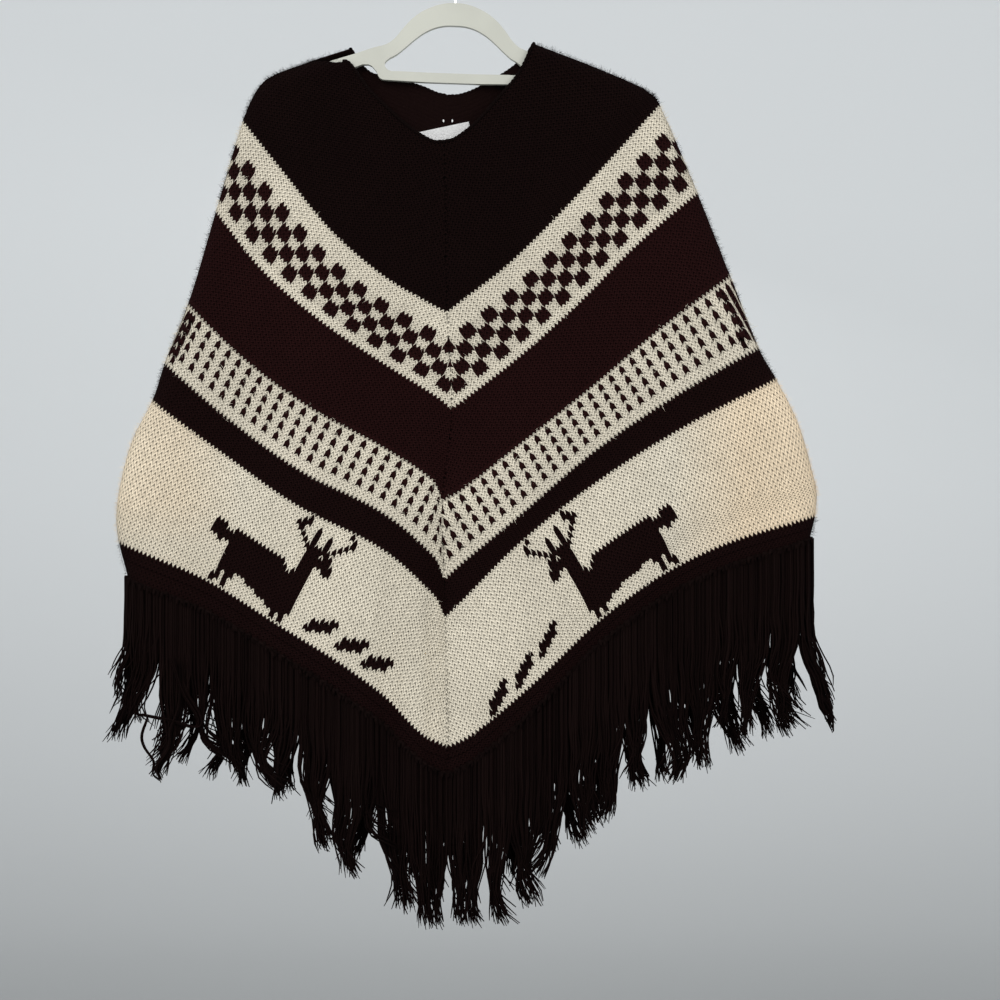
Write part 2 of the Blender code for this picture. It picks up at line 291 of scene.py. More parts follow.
# %% Points on the cloth
def smooth(places, values, where):
    """Values on a smooth curve through a table's values."""
    places = np.asarray(places, float)
    values = np.asarray(values, float)
    where = np.clip(where, places[0], places[-1])
    i = np.clip(np.searchsorted(places, where, side="right") - 1, 0, len(places) - 2)
    low = np.maximum(np.arange(len(places)) - 1, 0)
    high = np.minimum(np.arange(len(places)) + 1, len(places) - 1)
    slopes = (values[high] - values[low]) / (places[high] - places[low])
    span = places[i + 1] - places[i]
    t = (where - places[i]) / span
    return (
        values[i] * (2 * t**3 - 3 * t**2 + 1)
        + values[i + 1] * (3 * t**2 - 2 * t**3)
        + span * slopes[i] * (t**3 - 2 * t**2 + t)
        + span * slopes[i + 1] * (t**3 - t**2)
    )


def column(table, name, where):
    """The named column of a table, at places that may lie between its own."""
    return smooth([line[0] for line in table], [getattr(line, name) for line in table], where)


def look_up(grid, rows, shares):
    """Values of a grid that has a line every half row, between its lines."""
    i = np.clip(rows * 2, 0, grid.shape[0] - 1.001)
    j = np.clip(shares * (grid.shape[1] - 1), 0, grid.shape[1] - 1.001)
    i0, j0 = i.astype(int), j.astype(int)
    a, b = i - i0, j - j0
    upper = grid[i0, j0] * (1 - b) + grid[i0, j0 + 1] * b
    lower = grid[i0 + 1, j0] * (1 - b) + grid[i0 + 1, j0 + 1] * b
    return upper * (1 - a) + lower * a


class Panel:
    """One side of the poncho. A place on it is a row and a distance along that row from the centre."""

    def __init__(self, name, centre, left_bow, right_bow, folds, facing):
        self.name, self.centre, self.folds, self.facing = name, centre, folds, facing
        self.bows = {-1: left_bow, 1: right_bow}
        self.rows = np.arange(0, HEM_ROW + 0.1, 0.5)
        self.shares = np.linspace(0, 1, 401)
        self.x, self.z, self.share_at, self.length = {}, {}, {}, {}
        for hand in (-1, 1):
            self.trace(hand)

    def trace(self, hand):
        side = "left" if hand < 0 else "right"
        start = np.stack([column(self.centre, "x", self.rows), column(self.centre, "z", self.rows)], 1)
        end = np.stack([column(SIDES, side + "_x", self.rows), column(SIDES, side + "_z", self.rows)], 1)
        chord = end - start
        up = np.stack([-chord[:, 1], chord[:, 0]], 1) * hand
        up /= np.linalg.norm(up, axis=1, keepdims=True)
        bows = [column(self.bows[hand], name, self.rows) for name in Bow._fields[1:]]
        bow = np.array([smooth(BOW_PLACES, (0, *line, 0), self.shares) for line in zip(*bows)])
        line = start[:, None] + chord[:, None] * self.shares[:, None] + up[:, None] * bow[:, :, None]
        self.x[hand], self.z[hand] = line[:, :, 0], line[:, :, 1]
        y = self.depth(self.rows[:, None], self.shares[None], self.x[hand])
        steps = np.diff(np.stack([line[:, :, 0], y, line[:, :, 1]], 2), axis=1)
        run = np.concatenate([np.zeros((len(steps), 1)), np.cumsum(np.linalg.norm(steps, axis=2), 1)], 1)
        self.length[hand] = run[:, -1]
        self.share_at[hand] = np.array([np.interp(self.shares * one[-1], one, self.shares) for one in run])

    def depth(self, row, share, x):
        """How far the outer face stands from the middle plane."""
        turn = np.sqrt(1 - (1 - np.minimum((1 - share) / EDGE_ROUND, 1.0)) ** 2)
        folded = 0.0
        for fold in self.folds:
            along = np.clip((row - fold.row_from) / (fold.row_to - fold.row_from), 0, 1)
            middle = fold.x_from + (fold.x_to - fold.x_from) * along
            folded = folded + fold.depth * along * np.exp(-(((x - middle) / (0.5 * fold.width)) ** 2))
        return np.maximum((column(DEPTHS, "half_thickness", row) + folded) * turn, SEAM_LIP)

    def row_length(self, hand, row):
        return np.interp(row, self.rows, self.length[hand])

    def place(self, hand, row, along):
        """Points on the outer face, in millimetres."""
        row = np.clip(row, 0, HEM_ROW)
        share = look_up(self.share_at[hand], row, np.clip(along / self.row_length(hand, row), 0, 1))
        x = look_up(self.x[hand], row, share)
        z = look_up(self.z[hand], row, share)
        y = self.facing * self.depth(row, share, x)
        z = z + 3.0 * np.exp(-((along / 9.0) ** 2) - row / 5.0)
        if self.name == "front" and hand < 0:
            dropped = np.exp(-((row / 6.5) ** 2)) * np.clip((share - 0.72) / 0.28, 0, 1) ** 2
            x, z = x - 7 * dropped, z - 14 * dropped
        return np.stack([x, y, z], -1)

    def normal(self, hand, row, along):
        """The direction out of the cloth there."""
        down = self.place(hand, row + 1.0, along) - self.place(hand, row - 1.0, along)
        out = self.place(hand, row, along + 3.0) - self.place(hand, row, along - 3.0)
        found = np.cross(down, out) * (-hand * self.facing)
        return found / np.maximum(np.linalg.norm(found, axis=-1, keepdims=True), 1e-9)


FRONT = Panel("front", FRONT_CENTRE, FRONT_LEFT_BOW, FRONT_RIGHT_BOW, FRONT_FOLDS, -1)
BACK = Panel("back", BACK_CENTRE, BACK_LEFT_BOW, BACK_RIGHT_BOW, BACK_FOLDS, 1)
print("row lengths at the neck and the hem:", FRONT.length[1][0].round(), FRONT.length[1][-1].round())

# %% [markdown]
# ## The charts
#
# The yarn of each stitch comes from its row, and from its wale, the column of stitches that it belongs to.
# Wales start at the mitre, because every row gains stitches there. The deer and the small marks are drawn as
# knitting charts, with a stitch to each character.

# %% Charts
STITCH = 4.9
GAIN, LOW_GAIN = 3.0, 2.45
DEER = (
    "..................#.........#..",
    ".................##..........#.",
    "................##...#.......#.",
    ".................#...#..#...#..",
    "..................#..#..#..#...",
    "...................#.#..#.#....",
    "....................######.....",
    ".....................###.##....",
    ".....................######....",
    ".....................#######...",
    ".....................###..##...",
    ".....................###.......",
    "###..#############...###.......",
    "###################.####.......",
    "########################.......",
    "..#..###################.......",
    ".....###################.......",
    ".....###################.......",
    ".....###################.......",
    ".....###################.......",
    ".....###################.......",
    ".....####...############.......",
    ".....#.##......#########.......",
    ".....#.#..........#####........",
    "....##.#............#.#........",
    "....#..#............#.#........",
)
DEER_FEET_ROW = 129
DEER_TAIL_COLUMN = 5
MARK = (".....##", "...###.", ".#####.", ".###...", "##.....")
Motifs = namedtuple("Motifs", "deer_from_centre longer marks")
Mark = namedtuple("Mark", "from_centre row")
MOTIFS = {
    ("front", -1): Motifs(310, 0, (Mark(165, 123), Mark(129, 123), Mark(95, 123))),
    ("front", 1): Motifs(311, 3, (Mark(130, 122), Mark(95, 124), Mark(60, 125))),
    ("back", -1): Motifs(306, 0, (Mark(166, 123), Mark(130, 123), Mark(94, 124))),
    ("back", 1): Motifs(306, 0, (Mark(164, 123), Mark(128, 123), Mark(92, 124))),
}


def gained(row):
    """How far the wales have moved out by a row. They spread less in the deepest band."""
    return GAIN * np.minimum(row, 95) + LOW_GAIN * np.maximum(np.subtract(row, 95), 0)


def wale_at(distance, row):
    """The wale that crosses a row at a distance from the centre."""
    return int(round((distance - float(gained(row))) / STITCH))


def chart_value(chart, across, down):
    """1 where a chart has a #, for arrays of columns and lines."""
    table = np.array([[mark == "#" for mark in line] for line in chart])
    inside = (across >= 0) & (across < table.shape[1]) & (down >= 0) & (down < table.shape[0])
    return inside & table[np.clip(down, 0, table.shape[0] - 1), np.clip(across, 0, table.shape[1] - 1)]


def yarn_picks(panel, hand, row, wale):
    """1 for a cream stitch and 0 for a dark one, with a value between where dark yarn lies behind cream."""
    picks = np.zeros(row.shape)
    check = (row >= 44) & (row < 56)
    block = (np.floor_divide(row - 44, 3) + np.floor_divide(wale, 3)) % 2 == 0
    picks[(row >= 38) & (row < 59)] = 1.0
    picks[check] = 0.9
    picks[check & block] = 0.0
    picks[(row >= 79) & (row < 95)] = 1.0
    picks[(row >= 81) & (row < 92) & ((row - 81) % 3 == 0) & (wale % 3 == 0)] = 0.0
    picks[(row >= 103) & (row < 131)] = 1.0
    motifs = MOTIFS[(panel.name, hand)]
    towards = wale_at(motifs.deer_from_centre, DEER_FEET_ROW) - wale + DEER_TAIL_COLUMN
    towards = np.where(towards > 12 + motifs.longer, towards - motifs.longer, np.minimum(towards, 12))
    picks[chart_value(DEER, towards, row - (DEER_FEET_ROW - len(DEER) + 1))] = 0.0
    for mark in motifs.marks:
        column_of = (wale - wale_at(mark.from_centre, mark.row)) * hand * -panel.facing + 3
        picks[chart_value(MARK, column_of, row - mark.row)] = 0.0
    beside_seam = STITCH * (wale + 1) > panel.row_length(hand, row) - gained(row) - 24
    crowded = (row >= 81) & (row < 93) & beside_seam & ((row + wale) % 3 > 0)
    picks[crowded & (wale % 2 == 0)] = 0.0
    return picks


def tint_of(picks, row, x, z):
    """0 for plain yarn and 1 for its other shade: warmer cream at the sides, deeper brown at neck and hem."""
    outer_left = np.clip((-236 - x) / 60, 0, 1) * np.clip((z + 690) / 60, 0.25, 1)
    outer_right = np.clip((x - 232) / 76, 0, 1)
    warm = np.where(row >= 95, np.maximum(outer_left * 0.6, outer_right), 0.0)
    # Painted shade: at the neck, the deeper brown of the dark yarn stands for the shade in the yoke's ribs,
    # which are not modelled.
    deep = np.where(row < 38, 1.0, np.where(row < 95, 0.0, 0.75))
    return np.where(picks > 0, warm, deep)


# %% [markdown]
# ## Stitches
#
# A knitted stitch shows two legs of yarn that lean together at the top. Each leg is two triangles, and the
# bump rounds it. A dark stitch beside a cream one swells a little over it, as the real yarn does. The yarn,
# a random tone, a tint and a coordinate along and across the leg go with every leg for the shader. The
# inner side is a plainer layer of its own, three millimetres further in, and its rim closes the edges.

# %% Knit
LEG_SLANT = 0.46


def set_layer(mesh, name, values, domain):
    layer = mesh.attributes.new(name, "FLOAT", domain)
    layer.data.foreach_set("value", np.asarray(values, np.float32).ravel())


def set_uv(mesh, name, values):
    mesh.uv_layers.new(name=name).data.foreach_set("uv", np.asarray(values, np.float32).ravel())


def swell(picks, amount):
    """How far dark stitches push the lines round them: down the rows, and along them, at every corner."""
    dark = np.pad(1.0 - np.ceil(picks), 1, mode="edge")
    rowwise = (dark[:-1] - dark[1:]) * 0.5 * amount
    rowwise = np.stack([(rowwise[:, :-1] + rowwise[:, 1:]), 2 * rowwise[:, 1:]], 2).reshape(len(rowwise), -1)
    sideways = (dark[:, :-1] - dark[:, 1:]) * 0.25 * amount
    sideways = sideways[:-1] + sideways[1:]
    sideways = np.stack([sideways, np.zeros_like(sideways)], 2).reshape(len(sideways), -1)
    return rowwise[:, :-1], sideways[:, :-1]


def knit_half(panel, hand, first, last, relief, picks_of):
    """The legs of half a panel: points, triangles, texture coordinates, and what goes with each leg."""
    longest = panel.row_length(hand, np.linspace(first, last, 40)).max()
    wales = np.arange(-int(gained(last) / STITCH) - 2, int(longest / STITCH) + 2)
    lines = np.arange(2 * wales[0], 2 * wales[-1] + 3)
    rows = np.arange(first, last + 1)
    chart_rows, chart_wales = np.meshgrid(rows[:-1], wales, indexing="ij")
    chart = picks_of(panel, hand, chart_rows, chart_wales)
    spread = np.where((rows >= 79) & (rows < 96), 0.56, 0.3)[:, None]
    down_shift, side_shift = swell(chart, 1.0)
    slant = np.where(lines % 2 == 1, -LEG_SLANT, LEG_SLANT)
    row = np.clip(rows[:, None] + slant[None] + down_shift * spread, first, last)
    length = panel.row_length(hand, row)
    along = (lines[None] * 0.5 + side_shift * spread) * STITCH + gained(row)
    along = np.where(np.abs(along) < 0.15 * STITCH, 0.0, along)
    along = np.clip(np.where(np.abs(along - length) < 0.15 * STITCH, length, along), 0.0, length)
    lift = np.where(lines % 2 == 1, -0.45, -0.55)[None] * relief + rng.normal(0, 0.08, row.shape)
    lift = lift + 0.25 * np.abs(down_shift)
    grid = panel.place(hand, row, along) + panel.normal(hand, row, along) * lift[:, :, None]
    number = np.arange(row.size).reshape(row.shape)
    corners = np.stack([number[:-1, :-1], number[1:, :-1], number[1:, 1:], number[:-1, 1:]], -1)
    corners = corners.reshape(-1, 4)
    flat = along.ravel()
    width = flat[corners].max(1) - flat[corners].min(1)
    keep = width > 0.05 * STITCH
    corners = corners[keep]
    middle = grid.reshape(-1, 3)[corners].mean(1)
    turned = hand * panel.facing > 0
    ring = corners[:, ::-1] if turned else corners
    triangles = np.stack([ring[:, [0, 1, 2]], ring[:, [0, 2, 3]]], 1)
    ring_uv = np.array([(0, 0), (0, 1), (1, 1), (1, 0)], float)
    ring_uv = ring_uv[::-1] if turned else ring_uv
    uv = np.stack([ring_uv[[0, 1, 2]], ring_uv[[0, 2, 3]]])
    uv = np.tile(uv, (len(corners), 1, 1, 1))
    line_of = np.broadcast_to(lines[None, :-1], (len(rows) - 1, len(lines) - 1)).ravel()[keep]
    odd = line_of % 2 == 1
    uv[odd, :, :, 0] = 1 - uv[odd, :, :, 0]
    row_of = np.broadcast_to(rows[:-1, None], (len(rows) - 1, len(lines) - 1)).ravel()[keep] - first
    wale_of = line_of // 2 - wales[0]
    picks = chart[row_of, wale_of]
    tone = rng.normal(0.55, 0.16, chart.shape) - np.where(rows[:-1] < 95, 0.2, 0.0)[:, None]
    tone = tone[row_of, wale_of].clip(0, 1)
    tint = tint_of(picks, row_of + first, middle[:, 0], middle[:, 2])
    each = [np.repeat(values, 2) for values in (picks, tone, tint)]
    return grid.reshape(-1, 3), triangles.reshape(-1, 3), uv.reshape(-1, 3, 2), each


def plain_side(panel, hand, first, last, inset, picks_of):
    """The inner side: a quadrilateral to a stitch, and the rim along the neck, the hem edge and the seam."""
    longest = panel.row_length(hand, np.linspace(first, last, 40)).max()
    count = int(longest / STITCH) + 1
    rows = np.arange(first, last + 1)
    row = np.broadcast_to(rows[:, None], (len(rows), count)).astype(float)
    along = panel.row_length(hand, row) * np.linspace(0, 1, count)[None]
    face = panel.place(hand, row, along)
    direction = panel.normal(hand, row, along)
    inner = face - direction * inset
    shallow = np.abs(inner[:, :, 1]) < 0.2
    inner[:, :, 1] = np.where(shallow, 0.2 * panel.facing, inner[:, :, 1])
    rim = face - direction * 0.4
    points = np.concatenate([inner.reshape(-1, 3), rim.reshape(-1, 3)])
    number = np.arange(row.size).reshape(row.shape)
    outer = number + row.size
    quads = np.concatenate([
        np.stack([number[:-1, :-1], number[:-1, 1:], number[1:, 1:], number[1:, :-1]], -1).reshape(-1, 4),
        np.stack([outer[0, :-1], outer[0, 1:], number[0, 1:], number[0, :-1]], -1),
        np.stack([number[-1, :-1], number[-1, 1:], outer[-1, 1:], outer[-1, :-1]], -1),
        np.stack([number[:-1, -1], outer[:-1, -1], outer[1:, -1], number[1:, -1]], -1),
    ])
    if hand * panel.facing > 0:
        quads = quads[:, ::-1]
    triangles = np.stack([quads[:, [0, 1, 2]], quads[:, [0, 2, 3]]], 1).reshape(-1, 3)
    pair_uv = np.array([[(0, 0), (1, 0), (1, 1)], [(0, 0), (1, 1), (0, 1)]], float)
    uv = np.tile(pair_uv, (len(quads), 1, 1, 1)) * 0.6 + 0.2
    middle = points[quads % row.size].mean(1)
    middle_row = np.floor(row.ravel()[quads % row.size].mean(1)).astype(int).clip(first, last - 1)
    middle_along = along.ravel()[quads % row.size].mean(1)
    wale = np.floor((middle_along - gained(middle_row)) / STITCH).astype(int)
    picks = picks_of(panel, hand, middle_row, wale)
    tone = rng.normal(0.5, 0.14, len(quads)).clip(0, 1)
    tint = tint_of(picks, middle_row, middle[:, 0], middle[:, 2])
    each = [np.repeat(values, 2) for values in (picks, tone, tint)]
    return points, triangles, uv.reshape(-1, 3, 2), each


def both_halves(name, make, *given):
    """One mesh from the left and the right half of a piece."""
    halves = [make(given[0], hand, *given[1:]) for hand in (-1, 1)]
    shift = len(halves[0][0])
    made = mesh_object(
        name,
        np.concatenate([halves[0][0], halves[1][0]]) * MM,
        np.concatenate([halves[0][1], halves[1][1] + shift]),
    )
    set_uv(made.data, "Leg", np.concatenate([halves[0][2], halves[1][2]]))
    for i, layer in enumerate(("pick", "tone", "tint")):
        set_layer(made.data, layer, np.concatenate([halves[0][3][i], halves[1][3][i]]), "FACE")
    print(name, len(made.data.polygons), "triangles")
    return made


def all_dark(panel, hand, row, wale):
    return np.zeros(row.shape)


front_knit = both_halves("front_knit", knit_half, FRONT, 0, KNIT_END, 1.0, yarn_picks)
back_knit = both_halves("back_knit", knit_half, BACK, 0, KNIT_END, 1.0, yarn_picks)
front_border = both_halves("front_border", knit_half, FRONT, BORDER_START, HEM_ROW, 2.0, all_dark)
back_border = both_halves("back_border", knit_half, BACK, BORDER_START, HEM_ROW, 2.0, all_dark)
front_cloth = both_halves("front_cloth", plain_side, FRONT, 0, HEM_ROW, 2.8, yarn_picks)
back_cloth = both_halves("back_cloth", plain_side, BACK, 0, HEM_ROW, 2.8, yarn_picks)

# %% [markdown]
# ## Yarns
#
# A yarn is a tube along a line of points, and many of them are joined in one mesh. Its texture coordinates
# run round it and along it, so that the shader can draw its twist.


# %% Tubes
def tubes(name, paths, radii, sides):
    """Many tubes in one mesh, along paths of shape (tubes, points, 3), all in millimetres."""
    paths = np.asarray(paths, float)
    count, steps = paths.shape[:2]
    tangent = np.gradient(paths, axis=1)
    tangent /= np.maximum(np.linalg.norm(tangent, axis=2, keepdims=True), 1e-9)
    reference = np.array([0.05, 1.0, 0.02]) / math.hypot(1.0, 0.054)
    first = np.cross(tangent, reference)
    first /= np.maximum(np.linalg.norm(first, axis=2, keepdims=True), 1e-9)
    second = np.cross(tangent, first)
    angle = np.arange(sides) * 2 * math.pi / sides
    ring = first[:, :, None] * np.cos(angle)[None, None, :, None]
    ring = ring + second[:, :, None] * np.sin(angle)[None, None, :, None]
    points = paths[:, :, None] + ring * np.asarray(radii)[:, :, None, None]
    number = np.arange(count * steps * sides).reshape(count, steps, sides)
    after = np.roll(number, -1, axis=2)
    quads = np.stack([number[:, :-1], after[:, :-1], after[:, 1:], number[:, 1:]], -1).reshape(-1, 4)
    run = np.cumsum(np.linalg.norm(np.diff(paths, axis=1, prepend=paths[:, :1]), axis=2), 1) / 10
    start = rng.uniform(0, 1, (count, 1))
    u = np.arange(sides) / sides
    low_u = np.broadcast_to(u[None, None], (count, steps - 1, sides))
    low_v = np.broadcast_to((run + start)[:, :-1, None], low_u.shape)
    high_v = np.broadcast_to((run + start)[:, 1:, None], low_u.shape)
    high_u = low_u + 1 / sides
    corner_uv = ((low_u, low_v), (high_u, low_v), (high_u, high_v), (low_u, high_v))
    uv = np.stack([np.stack(pair, -1) for pair in corner_uv], 3)
    made = mesh_object(name, points.reshape(-1, 3) * MM, quads)
    set_uv(made.data, "Yarn", uv)
    tone = rng.normal(0.5, 0.2, count).clip(0, 1)
    set_layer(made.data, "tone", np.repeat(tone, (steps - 1) * sides), "FACE")
    return made


# %% [markdown]
# ## The fringe
#
# Each bunch of yarns is looped into the hem. Lower down, neighbouring bunches draw together into clumps with
# gaps between them. A clump gathers at one place and ends at another, and a table gives both for the front.
# The back's clumps are made up at random in the same manner.

# %% Clumps
Clump = namedtuple("Clump", "root_from root_to gather_x gather_z gather_width tip_x tip_z tip_width")
FRONT_CLUMPS = (
    Clump(-362, -352, -367, -776, 6, -376, -841, 10),
    Clump(-352, -318, -347, -798, 30, -346, -865, 34),
    Clump(-318, -285, -307, -823, 14, -322, -923, 12),
    Clump(-285, -262, -273, -819, 10, -244, -911, 8),
    Clump(-262, -225, -244, -841, 26, -240, -919, 16),
    Clump(-225, -195, -212, -863, 14, -197, -938, 6),
    Clump(-195, -172, -194, -873, 9, -189, -949, 5),
    Clump(-172, -135, -151, -879, 14, -133, -1003, 18),
    Clump(-135, -98, -122, -949, 34, -119, -1030, 14),
    Clump(-98, -90, -97, -949, 5, -68, -1003, 6),
    Clump(-90, -52, -63, -981, 30, -59, -1070, 36),
    Clump(-52, -10, -30, -992, 36, -30, -1088, 40),
    Clump(-10, 30, 8, -992, 36, 11, -1085, 38),
    Clump(30, 56, 39, -981, 18, 45, -1080, 20),
    Clump(56, 92, 70, -971, 24, 72, -1062, 28),
    Clump(92, 120, 100, -949, 20, 95, -1033, 24),
    Clump(120, 150, 133, -922, 22, 138, -990, 26),
    Clump(150, 178, 161, -895, 24, 158, -971, 24),
    Clump(178, 208, 191, -852, 24, 192, -930, 26),
    Clump(208, 246, 240, -841, 26, 231, -930, 36),
    Clump(246, 278, 261, -841, 26, 261, -917, 22),
    Clump(278, 300, 285, -803, 12, 276, -868, 8),
    Clump(300, 330, 308, -830, 12, 309, -882, 16),
    Clump(330, 362, 342, -819, 26, 356, -879, 14),
    Clump(362, 386, 393, -798, 22, 402, -865, 12),
)
Reach = namedtuple("Reach", "x z")
BACK_REACH = (
    Reach(-378, -868),
    Reach(-300, -920),
    Reach(-205, -955),
    Reach(-110, -1020),
    Reach(-12, -1058),
    Reach(90, -1020),
    Reach(200, -950),
    Reach(300, -905),
    Reach(405, -872),
)


def back_clumps():
    """Clumps across the back, as wide as the front's, with their ends on the line that the fringe reaches."""
    found = []
    x = -362.0
    while x < 386:
        width = float(rng.uniform(22, 42))
        end = min(x + width, 386.0)
        middle = 0.5 * (x + end)
        tip = float(column(BACK_REACH, "z", middle)) + float(rng.uniform(0, 14))
        gather = tip + float(rng.uniform(75, 100))
        drift = float(rng.normal(0, 7))
        found.append(
            Clump(x, end, middle * 1.02 + drift, gather, width * rng.uniform(0.45, 0.8),
                  middle * 1.045 + drift * 1.5, tip, width * rng.uniform(0.4, 0.9))
        )
        x = end
    return found


# %% Hang the fringe
BUNCH = 8.4
STRANDS = 11
STRAND_RADIUS = 0.9


def hem_places(panel):
    """Where the bunches are looped in, from the left seam to the right one: points on the hem."""
    found = []
    for hand in (-1, 1):
        length = float(panel.row_length(hand, HEM_ROW))
        count = int(length / BUNCH)
        along = (np.arange(count) + 0.5) * length / count
        found.append(panel.place(hand, np.full(count, float(HEM_ROW)), along))
    return np.concatenate(found)


def strand(panel, clump, swing, root, share, lane, steps):
    """One yarn: straight in the upper mass, drawn into its clump lower down, and curled at its end."""
    own = np.clip(share * 0.8 + rng.uniform(0, 0.2), 0, 1) - 0.5
    stray = rng.uniform() < 0.10
    start = root + (lane * BUNCH, -panel.facing * rng.uniform(0, 5.0), 3.0)
    gather_x = clump.gather_x + own * clump.gather_width * 0.8 + rng.normal(0, 1.2)
    tip_x = clump.tip_x + own * clump.tip_width * 0.8 + rng.normal(0, 7.0 if stray else 2.5)
    tip_z = clump.tip_z + abs(rng.normal(0, 8)) + own**2 * 30 - 3
    if rng.uniform() < 0.3:
        tip_z = tip_z + rng.uniform(8, 42)
    length = start[2] - tip_z
    down = np.linspace(0, 1, steps) ** 0.9
    z = start[2] - length * down
    held = start[0] + 0.14 * (gather_x - start[0]) + rng.normal(0, 1.6)
    x = smooth((0, 0.3, 0.6, rng.uniform(0.82, 0.88), 1), (start[0], start[0], held, gather_x, tip_x), down)
    x = x + swing.sway * down**2 * np.sin(down * length / 11 + swing.phase)
    wave = rng.uniform(0.3, 2.6) * down**1.6
    x = x + wave * np.sin(down * length / rng.uniform(7, 13) + rng.uniform(0, 6.28))
    y = start[1] + wave * np.sin(down * length / rng.uniform(9, 18) + rng.uniform(0, 6.28))
    y = y + panel.facing * (1.5 * np.sin(down * math.pi) - 1.0 * down)
    curl = np.clip((down - 0.84) / 0.16, 0, 1) ** 1.6
    x = x + curl * (swing.curl + rng.normal(0, 3.5))
    if rng.uniform() < 0.3:
        z = z + curl * rng.uniform(2, 8)
    slim = np.interp(down, (0, 0.4, 0.65, 0.95, 1), (1.45, 1.35, 0.95, 0.8, rng.uniform(0.25, 0.6)))
    x = np.clip(x, -388, 408)
    return np.stack([x, y, z], -1), STRAND_RADIUS * rng.uniform(0.8, 1.15) * slim


Swing = namedtuple("Swing", "sway phase curl")


def strand_paths(panel, clumps, steps):
    roots = hem_places(panel)
    paths, radii = [], []
    for clump in clumps:
        swing = Swing(rng.normal(0, 3.2), rng.uniform(0, 6.28), rng.normal(0, 3.5))
        inside = roots[(roots[:, 0] >= clump.root_from) & (roots[:, 0] < clump.root_to)]
        for root in inside:
            share = (root[0] - clump.root_from) / (clump.root_to - clump.root_from)
            for i in range(STRANDS):
                lane = (i + rng.uniform()) / STRANDS - 0.5
                path, width = strand(panel, clump, swing, root, share, lane, steps)
                paths.append(path)
                radii.append(width)
    return np.array(paths), np.array(radii)


Loop = namedtuple("Loop", "strands points")
FRONT_LOOPS = (
    Loop(7, ((-306, -795), (-295, -830), (-279, -858), (-283, -869), (-309, -862), (-343, -855))),
    Loop(7, ((-300, -800), (-300, -845), (-309, -872), (-311, -892), (-324, -912), (-320, -927))),
    Loop(2, ((-335, -860), (-341, -878), (-338, -891), (-328, -906), (-329, -919), (-322, -926))),
    Loop(4, ((-185, -825), (-178, -850), (-166, -867), (-149, -890), (-144, -924), (-145, -948))),
)


def loop_paths(panel, steps):
    """Tassels that swing aside or turn back up, each a few yarns together."""
    paths, radii = [], []
    for loop in FRONT_LOOPS:
        points = np.array(loop.points, float)
        for _ in range(loop.strands):
            t = np.linspace(0, 1, steps)
            places = np.linspace(0, 1, len(points))
            x = smooth(places, points[:, 0] + rng.normal(0, 1.1), t)
            z = smooth(places, points[:, 1] + rng.normal(0, 1.1), t)
            y = panel.facing * (16 + rng.uniform(0, 5) + 2 * np.sin(t * 5 + rng.uniform(0, 6)))
            paths.append(np.stack([x, y, z], -1))
            radii.append(STRAND_RADIUS * np.interp(t, (0, 0.9, 1), (1, 0.9, 0.5)))
    return np.array(paths), np.array(radii)


front_paths, front_radii = strand_paths(FRONT, FRONT_CLUMPS, 18)
loops, loop_radii = loop_paths(FRONT, 18)
front_paths, front_radii = np.concatenate([front_paths, loops]), np.concatenate([front_radii, loop_radii])
front_strands = tubes("front_fringe_yarns", front_paths, front_radii, 4)
back_paths, back_radii = strand_paths(BACK, back_clumps(), 15)
back_strands = tubes("back_fringe_yarns", back_paths, back_radii, 4)
print("strands:", len(front_paths), len(back_paths))


# %% [markdown]
# ## Edges
#
# The bunches are looped over the hem in small knots, and the neck edge is cast off in a chain. The sides are
# sewn edge to edge, so their seams show only as the line where the two panels meet.


# %% Knots and neck chain
def lumps(name, places, sizes, turns):
    """Many small rounded lumps in one mesh."""
    rings, sides = 5, 8
    tilt = np.linspace(0, math.pi, rings + 1)[1:-1]
    angle = np.arange(sides) * 2 * math.pi / sides
    ball = [(0, 0, 1)]
    ball += [(math.sin(t) * math.cos(p), math.sin(t) * math.sin(p), math.cos(t)) for t in tilt for p in angle]
    ball += [(0, 0, -1)]
    ball = np.array(ball)
    faces = []
    for j in range(sides):
        after = (j + 1) % sides
        faces.append((0, 1 + j, 1 + after))
        for i in range(len(tilt) - 1):
            low, high = 1 + i * sides, 1 + (i + 1) * sides
            faces.append((low + j, high + j, high + after))
            faces.append((low + j, high + after, low + after))
        last = 1 + (len(tilt) - 1) * sides
        faces.append((last + j, len(ball) - 1, last + after))
    faces = np.array(faces)
    scaled = ball[None] * np.asarray(sizes)[:, None]
    cos, sin = np.cos(turns)[:, None], np.sin(turns)[:, None]
    x = scaled[:, :, 0] * cos - scaled[:, :, 2] * sin
    z = scaled[:, :, 0] * sin + scaled[:, :, 2] * cos
    points = np.asarray(places)[:, None] + np.stack([x, scaled[:, :, 1], z], -1)
    numbers = faces[None] + (np.arange(len(places)) * len(ball))[:, None, None]
    made = mesh_object(name, points.reshape(-1, 3) * MM, numbers.reshape(-1, 3))
    spun = np.stack([ball[:, 0] * 0.5, ball[:, 2] * 0.5 + ball[:, 1] * 0.3], -1)[faces]
    spun = np.tile(spun, (len(places), 1, 1, 1))
    set_uv(made.data, "Yarn", spun)
    tone = rng.normal(0.5, 0.2, len(places)).clip(0, 1)
    set_layer(made.data, "tone", np.repeat(tone, len(faces)), "FACE")
    return made


